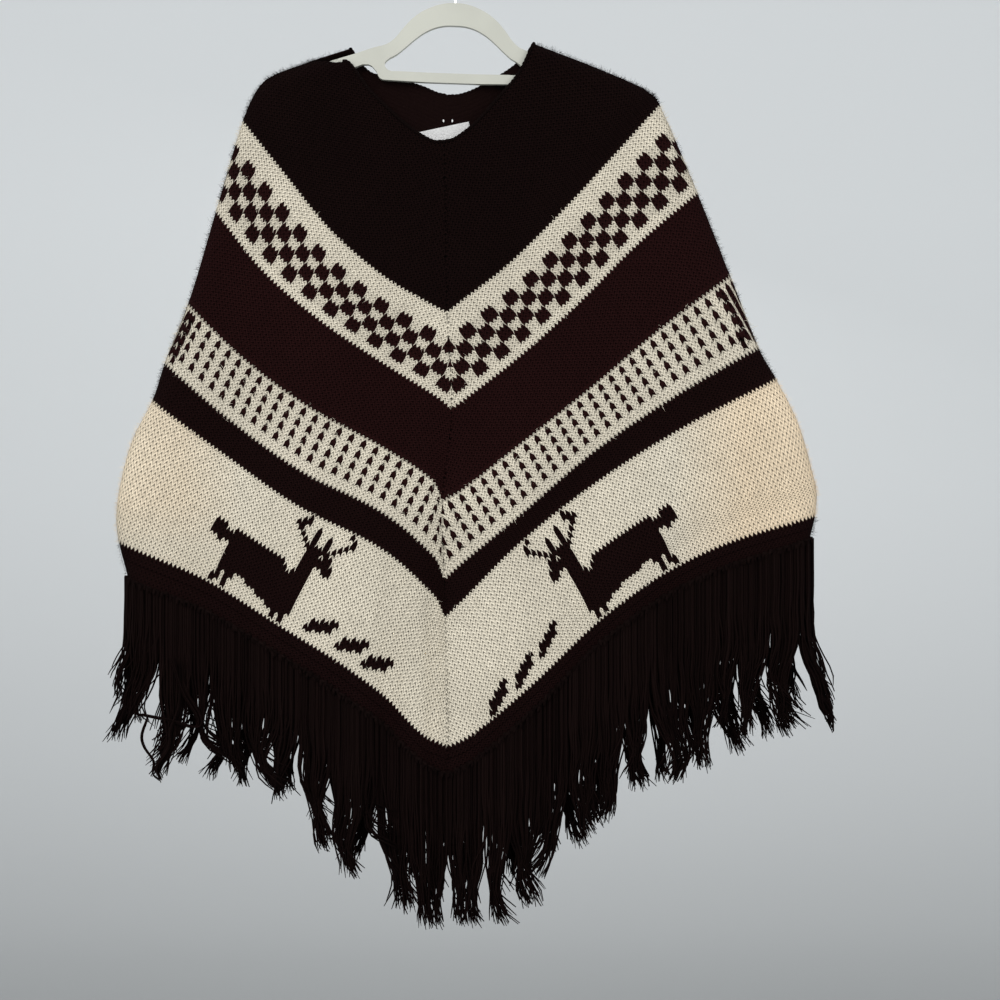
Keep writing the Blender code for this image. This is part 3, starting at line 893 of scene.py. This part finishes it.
def hem_knots(name, panel):
    roots = hem_places(panel)
    slope = np.arctan2(np.gradient(roots[:, 2]), np.gradient(roots[:, 0]))
    left, right = (-1.9, panel.facing * 0.4, 0.6), (1.9, panel.facing * 0.4, 0.6)
    centres = np.concatenate([roots + left, roots + right])
    centres = centres + rng.normal(0, 0.5, centres.shape)
    bars = roots + np.array([0, panel.facing * 1.2, 2.4])
    places = np.concatenate([centres, bars])
    loop_size, bar_size = (1.9, 2.0, 4.0), (4.0, 1.6, 1.6)
    sizes = np.concatenate([np.tile(loop_size, (len(centres), 1)), np.tile(bar_size, (len(bars), 1))])
    turns = np.concatenate([rng.normal(0, 0.2, len(centres)), slope + rng.normal(0, 0.15, len(bars))])
    return lumps(name, places, sizes, turns)


front_knots = hem_knots("front_hem_knots", FRONT)
back_knots = hem_knots("back_hem_knots", BACK)


def edge_line(panel, row, lift, out):
    """A row of the cloth from the left seam to the right one."""
    halves = []
    for hand in (-1, 1):
        length = float(panel.row_length(hand, row))
        along = np.linspace(0, length, int(length / 1.2))
        line = panel.place(hand, np.full(len(along), float(row)), along)
        line = line + panel.normal(hand, np.full(len(along), float(row)), along) * out + (0, 0, lift)
        halves.append(line[::-1] if hand < 0 else line[1:])
    return np.concatenate(halves)


def chain(name, line, radius, pitch, sides=7):
    """A tube along a line that swells once for each stitch."""
    run = np.concatenate([[0], np.cumsum(np.linalg.norm(np.diff(line, axis=0), axis=1))])
    swell = radius * (0.78 + 0.34 * np.abs(np.sin(run * math.pi / pitch)))
    return tubes(name, line[None], swell[None], sides)


front_neck = chain("front_neck_edge", edge_line(FRONT, 0, 0.8, -1.3), 1.9, 4.6)
back_neck = chain("back_neck_edge", edge_line(BACK, 0, 0.8, -1.3), 1.9, 4.6)

# %% [markdown]
# ## The label
#
# A small white ribbon is sewn to the inside of the back, under the neck. It has a woven face and no print;
# its hemmed ends are not modelled.

# %% Label
LABEL_CENTRE = (-14, 6.2, -237)
LABEL_WIDTH, LABEL_HEIGHT, LABEL_TILT = 60.0, 38.0, 12.0
columns, lines = 41, 27
u, v = np.meshgrid(np.linspace(-0.5, 0.5, columns), np.linspace(0.5, -0.5, lines))
bulge = 0.5 * np.cos(u * math.pi) * np.cos(v * math.pi * 0.9) + 0.12 * np.sin(u * 19) * np.cos(v * 4)
label_x, label_z = u * LABEL_WIDTH, v * LABEL_HEIGHT
tilt = math.radians(LABEL_TILT)
label_front = np.stack(
    [
        LABEL_CENTRE[0] + label_x * math.cos(tilt) - label_z * math.sin(tilt),
        LABEL_CENTRE[1] - bulge - 0.25,
        LABEL_CENTRE[2] + label_x * math.sin(tilt) + label_z * math.cos(tilt),
    ],
    -1,
)
label_points = np.concatenate([label_front.reshape(-1, 3), (label_front + (0, 0.5, 0)).reshape(-1, 3)])
number = np.arange(columns * lines).reshape(lines, columns)
face = np.stack([number[:-1, :-1], number[1:, :-1], number[1:, 1:], number[:-1, 1:]], -1).reshape(-1, 4)
behind = face[:, ::-1] + number.size
border = np.concatenate([number[0, :], number[1:, -1], number[-1, -2::-1], number[-2:0:-1, 0]])
after = np.roll(border, -1)
label_rim = np.stack([border, after, after + number.size, border + number.size], -1)
neck_label = mesh_object("woven_label", label_points * MM, np.concatenate([face, behind, label_rim]))
label_uv = np.stack([u * LABEL_WIDTH, v * LABEL_HEIGHT], -1).reshape(-1, 2)
label_faces = np.concatenate([face, behind - number.size, np.tile(border[:, None], (1, 4))])
set_uv(neck_label.data, "Ribbon", label_uv[label_faces])

# %% [markdown]
# ## Loose stitches and fuzz
#
# Two short ends of white thread show above the label. Brushed wool has fine hairs that stand off its face, so
# thousands of thin bent ribbons grow from random places on the panels, in the colour of the stitch below.

# %% Thread ends
thread_places = np.array([(-16.2, 5.9, -211.5), (-6.6, 5.9, -211.5)])
thread_sizes = np.full((2, 3), (1.0, 0.8, 1.7))
label_stitches = lumps("label_stitches", thread_places, thread_sizes, np.array([0.1, -0.1]))


# %% Fuzz
def fuzz_hairs(name, panel, count):
    """Fine hairs: a bent, tapering strip of three triangles to a hair."""
    row = rng.uniform(0.5, HEM_ROW - 0.5, count)
    hand = rng.choice([-1, 1], count)
    at_side = rng.uniform(0, 1, count) < 0.3
    share = np.where(at_side, rng.uniform(0.985, 1.0, count), rng.uniform(0, 1, count))
    points, layers = [], []
    for one in (-1, 1):
        mine = hand == one
        rows, spot = row[mine], share[mine] * panel.row_length(one, row[mine])
        root, out = panel.place(one, rows, spot), panel.normal(one, rows, spot)
        lean = rng.normal(0, 0.75, out.shape)
        reach = rng.uniform(1.2, 4.2, (len(rows), 1))
        middle = root + (out + 0.5 * lean) * reach * 0.5
        end = middle + (0.35 * out + lean) * reach * 0.5
        width = np.cross(out, lean) * 0.075
        points.append(np.stack([root - width, root + width, middle - width, middle + width, end], 1))
        wale = np.floor((spot - gained(rows)) / STITCH).astype(int)
        picks = yarn_picks(panel, one, np.floor(rows).astype(int), wale)
        tint = tint_of(picks, rows, root[:, 0], root[:, 2])
        layers.append(np.stack([picks, rng.uniform(0.3, 0.8, len(rows)), tint]))
    points = np.concatenate(points)
    base = np.arange(len(points))[:, None, None] * 5
    faces = base + np.array([(0, 1, 3), (0, 3, 2), (2, 3, 4)])[None]
    made = mesh_object(name, points.reshape(-1, 3) * MM, faces.reshape(-1, 3))
    set_uv(made.data, "Leg", np.full((len(points) * 9, 2), 0.5))
    for i, layer in enumerate(("pick", "tone", "tint")):
        set_layer(made.data, layer, np.repeat(np.concatenate(layers, 1)[i], 3), "FACE")
    return made


front_fuzz = fuzz_hairs("front_fuzz", FRONT, 22000)
back_fuzz = fuzz_hairs("back_fuzz", BACK, 14000)

# %% [markdown]
# ## Shaders
#
# Effects that several materials share are node groups with named inputs and outputs.


# %% Node helpers
def group(name, inputs, outputs):
    """A shader group, with its input and output nodes."""
    made = bpy.data.node_groups.new(name, "ShaderNodeTree")
    for title, kind, value in inputs:
        socket = made.interface.new_socket(title, in_out="INPUT", socket_type="NodeSocket" + kind)
        socket.default_value = value
    for title, kind in outputs:
        made.interface.new_socket(title, in_out="OUTPUT", socket_type="NodeSocket" + kind)
    return made, made.nodes.new("NodeGroupInput").outputs, made.nodes.new("NodeGroupOutput").inputs


def feed(tree, socket, value):
    """Links a socket to another one, or gives it a value."""
    if isinstance(value, bpy.types.NodeSocket):
        tree.links.new(value, socket)
    else:
        socket.default_value = value


def math_node(tree, operation, first, second=0.0, third=0.0):
    made = tree.nodes.new("ShaderNodeMath")
    made.operation = operation
    for socket, value in zip(made.inputs, (first, second, third)):
        feed(tree, socket, value)
    return made.outputs[0]


def remap(tree, value, low, high, to_low, to_high):
    made = tree.nodes.new("ShaderNodeMapRange")
    made.interpolation_type = "SMOOTHSTEP"
    limits = (("From Min", low), ("From Max", high), ("To Min", to_low), ("To Max", to_high))
    for name, given in (("Value", value), *limits):
        feed(tree, made.inputs[name], given)
    return made.outputs[0]


def noise(tree, scale, detail=2.0, vector=None, stretch=None):
    made = tree.nodes.new("ShaderNodeTexNoise")
    made.inputs["Scale"].default_value = scale
    made.inputs["Detail"].default_value = detail
    if vector is None:
        vector = tree.nodes.new("ShaderNodeTexCoord").outputs["Object"]
    if stretch:
        mapping = tree.nodes.new("ShaderNodeMapping")
        mapping.inputs["Scale"].default_value = stretch
        tree.links.new(vector, mapping.inputs["Vector"])
        vector = mapping.outputs[0]
    tree.links.new(vector, made.inputs["Vector"])
    return made.outputs["Fac"]


def mix_colour(tree, factor, first, second, kind="MIX"):
    made = tree.nodes.new("ShaderNodeMix")
    made.data_type = "RGBA"
    made.blend_type = kind
    feed(tree, made.inputs[0], factor)
    feed(tree, made.inputs[6], first)
    feed(tree, made.inputs[7], second)
    return made.outputs[2]


def split(tree, vector):
    made = tree.nodes.new("ShaderNodeSeparateXYZ")
    tree.links.new(vector, made.inputs[0])
    return made.outputs[0], made.outputs[1]


def scaled_colour(tree, colour, amount):
    """A colour times a number."""
    grey = tree.nodes.new("ShaderNodeCombineColor")
    for socket in grey.inputs[:3]:
        feed(tree, socket, amount)
    return mix_colour(tree, 1.0, colour, grey.outputs[0], "MULTIPLY")


# %% Wool fibres
fibres, given, result = group(
    "wool_fibres",
    [("Size", "Float", 1.0), ("Amount", "Float", 0.3)],
    [("Shade", "Float"), ("Height", "Float")],
)
place = fibres.nodes.new("ShaderNodeTexCoord").outputs["Object"]
larger = fibres.nodes.new("ShaderNodeVectorMath")
larger.operation = "SCALE"
feed(fibres, larger.inputs[0], place)
feed(fibres, larger.inputs["Scale"], given["Size"])
fine = noise(fibres, 2600, 3.0, larger.outputs[0])
soft = noise(fibres, 520, 2.0, larger.outputs[0])
fine_part = math_node(fibres, "MULTIPLY", fine, 0.6)
both = math_node(fibres, "ADD", fine_part, math_node(fibres, "MULTIPLY", soft, 0.4))
centred = math_node(fibres, "SUBTRACT", both, 0.5)
feed(fibres, result["Height"], both)
amount = math_node(fibres, "MULTIPLY", given["Amount"], 4.0)
feed(fibres, result["Shade"], math_node(fibres, "MULTIPLY_ADD", centred, amount, 1.0))

# %% Knitted leg
# Groove and Hole mask the painted shade at the sides of a leg and in the holes between legs; Height is for
# the bump.
leg, given, result = group(
    "knitted_leg",
    [("Leg", "Vector", (0, 0, 0)), ("Plies", "Float", 1.0)],
    [("Groove", "Float"), ("Hole", "Float"), ("Height", "Float")],
)
along, across_leg = split(leg, given["Leg"])
centred = math_node(leg, "MULTIPLY_ADD", across_leg, 2.0, -1.0)
away = math_node(leg, "ABSOLUTE", centred)
round_profile = math_node(leg, "SUBTRACT", 1.0, math_node(leg, "MULTIPLY", centred, centred))
side_end = remap(leg, along, 0.0, 0.3, 0.72, 1.0)
rounded = math_node(leg, "MULTIPLY", math_node(leg, "MAXIMUM", round_profile, 0.0), side_end)
low_end = remap(leg, along, 0.55, 0.95, 0.0, 1.0)
hole = math_node(leg, "MULTIPLY", low_end, remap(leg, away, 0.35, 0.95, 0.0, 1.0))
turned = math_node(leg, "MULTIPLY_ADD", along, 11.0, math_node(leg, "MULTIPLY", across_leg, 5.0))
twist = math_node(leg, "MULTIPLY_ADD", math_node(leg, "SINE", turned), 0.5, 0.5)
twist = math_node(leg, "MULTIPLY", math_node(leg, "MULTIPLY", twist, given["Plies"]), 0.14)
feed(leg, result["Groove"], remap(leg, rounded, 0.0, 0.6, 0.0, 1.0))
feed(leg, result["Hole"], hole)
raised = math_node(leg, "SUBTRACT", math_node(leg, "POWER", rounded, 0.6), hole)
feed(leg, result["Height"], math_node(leg, "ADD", twist, raised))

# %% Twisted yarn
twisted, given, result = group(
    "twisted_yarn",
    [("Yarn", "Vector", (0, 0, 0)), ("Turns", "Float", 2.0)],
    [("Groove", "Float"), ("Height", "Float")],
)
around, along = split(twisted, given["Yarn"])
turned_along = math_node(twisted, "MULTIPLY", along, given["Turns"])
turned_around = math_node(twisted, "MULTIPLY", around, 12.566)
phase = math_node(twisted, "MULTIPLY_ADD", turned_along, 6.283, turned_around)
wave = math_node(twisted, "ABSOLUTE", math_node(twisted, "SINE", phase))
feed(twisted, result["Groove"], remap(twisted, wave, 0.0, 0.7, 0.0, 1.0))
feed(twisted, result["Height"], wave)


# %% Wool materials
def use_group(tree, which, **values):
    made = tree.nodes.new("ShaderNodeGroup")
    made.node_tree = which
    for name, value in values.items():
        feed(tree, made.inputs[name], value)
    return made.outputs


def attribute(tree, name):
    made = tree.nodes.new("ShaderNodeAttribute")
    made.attribute_name = name
    return made.outputs["Fac"]


def uv_map(tree, name):
    made = tree.nodes.new("ShaderNodeUVMap")
    made.uv_map = name
    return made.outputs[0]


def bump(tree, height, distance, strength=1.0):
    made = tree.nodes.new("ShaderNodeBump")
    made.inputs["Distance"].default_value = distance
    made.inputs["Strength"].default_value = strength
    tree.links.new(height, made.inputs["Height"])
    return made.outputs[0]


BROWN = (0.0160, 0.0048, 0.0046, 1)
# DEEP_BROWN darkens the neck, as painted shade of its ribs, and in part the dark bands near the hem.
DEEP_BROWN = (0.0070, 0.0030, 0.0027, 1)
CREAM = (0.785, 0.71, 0.565, 1)
WARM_CREAM = (0.885, 0.72, 0.51, 1)

knit_material, shader = new_material("wool_knit")
tree = knit_material.node_tree
fuzz = use_group(tree, fibres, Size=1.0, Amount=0.2)
yarn = use_group(tree, leg, Leg=uv_map(tree, "Leg"), Plies=1.0)
tint = attribute(tree, "tint")
dark = mix_colour(tree, tint, BROWN, DEEP_BROWN)
pale = mix_colour(tree, tint, CREAM, WARM_CREAM)
pick = attribute(tree, "pick")
colour = mix_colour(tree, pick, dark, pale)
tone = math_node(tree, "MULTIPLY_ADD", attribute(tree, "tone"), 0.24, 0.88)
patches = remap(tree, noise(tree, 9, 2.0), 0.35, 0.65, 0.94, 1.03)
tone = math_node(tree, "MULTIPLY", math_node(tree, "MULTIPLY", tone, patches), fuzz["Shade"])
# Painted shade: the colour darkens at the sides of each leg and more in the holes where legs meet; in the
# holes it also stands for the dark yarn lying behind.
shadow = remap(tree, yarn["Groove"], 0.0, 1.0, 0.74, 1.0)
shadow = math_node(tree, "MULTIPLY", shadow, remap(tree, yarn["Hole"], 0.0, 1.0, 1.0, 0.36))
shaded = scaled_colour(tree, colour, math_node(tree, "MULTIPLY", tone, shadow))
feed(tree, shader.inputs["Base Color"], shaded)
height = math_node(tree, "MULTIPLY_ADD", fuzz["Height"], 0.25, yarn["Height"])
feed(tree, shader.inputs["Normal"], bump(tree, height, 0.0012))
shader.inputs["Roughness"].default_value = 1.0
shader.inputs["Specular IOR Level"].default_value = 0.03
woollen = (front_knit, back_knit, front_border, back_border, front_cloth, back_cloth, front_fuzz, back_fuzz)
for piece in woollen:
    piece.data.materials.append(knit_material)

yarn_material, shader = new_material("fringe_wool")
tree = yarn_material.node_tree
fuzz = use_group(tree, fibres, Size=1.0, Amount=0.3)
yarn = use_group(tree, twisted, Yarn=uv_map(tree, "Yarn"), Turns=2.0)
tone = math_node(tree, "MULTIPLY_ADD", attribute(tree, "tone"), 0.8, 0.6)
tone = math_node(tree, "MULTIPLY", tone, fuzz["Shade"])
shadow = remap(tree, yarn["Groove"], 0.0, 1.0, 0.5, 1.0)
shadow = math_node(tree, "MULTIPLY", tone, shadow)
feed(tree, shader.inputs["Base Color"], scaled_colour(tree, (0.0088, 0.0043, 0.0038, 1), shadow))
height = math_node(tree, "MULTIPLY_ADD", fuzz["Height"], 0.3, yarn["Height"])
feed(tree, shader.inputs["Normal"], bump(tree, height, 0.0006))
shader.inputs["Roughness"].default_value = 0.9
shader.inputs["Specular IOR Level"].default_value = 0.03
for piece in (front_strands, back_strands, front_knots, back_knots, front_neck, back_neck):
    piece.data.materials.append(yarn_material)

# %% Label, hanger and hook
ribbon_material, shader = new_material("woven_ribbon")
tree = ribbon_material.node_tree
place_u, place_v = split(tree, uv_map(tree, "Ribbon"))
warp = math_node(tree, "SINE", math_node(tree, "MULTIPLY", place_u, 15.7))
weft = math_node(tree, "SINE", math_node(tree, "MULTIPLY", place_v, 15.7))
weave = math_node(tree, "MULTIPLY", warp, weft)
specks = math_node(tree, "MULTIPLY_ADD", noise(tree, 300, 2.0), 0.12, 0.9)
shade = math_node(tree, "MULTIPLY_ADD", weave, 0.05, specks)
feed(tree, shader.inputs["Base Color"], scaled_colour(tree, (0.86, 0.85, 0.83, 1), shade))
feed(tree, shader.inputs["Normal"], bump(tree, weave, 0.0001))
shader.inputs["Roughness"].default_value = 0.7
neck_label.data.materials.append(ribbon_material)
label_stitches.data.materials.append(ribbon_material)

plastic_material, shader = new_material("ivory_plastic")
tree = plastic_material.node_tree
mottle = remap(tree, noise(tree, 14, 3.0), 0.3, 0.7, 0.95, 1.04)
feed(tree, shader.inputs["Base Color"], scaled_colour(tree, (0.505, 0.505, 0.435, 1), mottle))
feed(tree, shader.inputs["Roughness"], remap(tree, noise(tree, 60, 3.0), 0.3, 0.7, 0.36, 0.5))
feed(tree, shader.inputs["Normal"], bump(tree, noise(tree, 900, 2.0), 0.00006))
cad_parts["hanger_body"].material_slots[0].material = plastic_material

chrome_material, shader = new_material("plated_wire")
tree = chrome_material.node_tree
shader.inputs["Metallic"].default_value = 1.0
shader.inputs["Base Color"].default_value = (0.78, 0.79, 0.80, 1)
feed(tree, shader.inputs["Roughness"], remap(tree, noise(tree, 700, 3.0), 0.35, 0.65, 0.14, 0.26))
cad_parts["hanger_hook"].material_slots[0].material = chrome_material

# %% Pieces
PIECES = (
    (front_cloth, "panel_knit", ("front_panel",)),
    (back_cloth, "panel_knit", ("back_panel",)),
    (front_knit, "panel_knit", ("front_panel",)),
    (back_knit, "panel_knit", ("back_panel",)),
    (front_border, "edging_wool", ("front_hem_edging",)),
    (back_border, "edging_wool", ("back_hem_edging",)),
    (front_knots, "edging_wool", ()),
    (back_knots, "edging_wool", ()),
    (front_strands, "fringe_yarn", ("front_fringe",)),
    (back_strands, "fringe_yarn", ("back_fringe",)),
    (front_neck, "panel_knit", ()),
    (back_neck, "panel_knit", ()),
    (front_fuzz, "panel_knit", ()),
    (back_fuzz, "panel_knit", ()),
    (neck_label, "label_cloth", ("neck_label",)),
    (label_stitches, "label_cloth", ()),
)
for piece, slot, nodes in PIECES:
    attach(piece, "root")
    if nodes:
        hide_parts(*nodes)


def outer_area(panel, first, last):
    """The area of the outer face between two rows, in square metres."""
    total = 0.0
    for hand in (-1, 1):
        rows = np.linspace(first, last, 80)[:, None] * np.ones((1, 80))
        along = panel.row_length(hand, rows) * np.linspace(0, 1, 80)[None]
        points = panel.place(hand, rows, along)
        one = points[1:, :-1] - points[:-1, :-1]
        other = points[:-1, 1:] - points[:-1, :-1]
        total += np.linalg.norm(np.cross(one, other), axis=2).sum()
    return float(total) / 1e6


for cloth, panel, others in (
    (front_cloth, FRONT, [front_knit, front_border, front_knots, front_neck, front_strands, front_fuzz]),
    (back_cloth, BACK, [back_knit, back_border, back_knots, back_neck, back_strands, back_fuzz]),
):
    cut = outer_area(panel, 0, HEM_ROW)
    print(cloth.name, "area", round(cut, 4), "of it border", round(outer_area(panel, PANEL_END, HEM_ROW), 4))
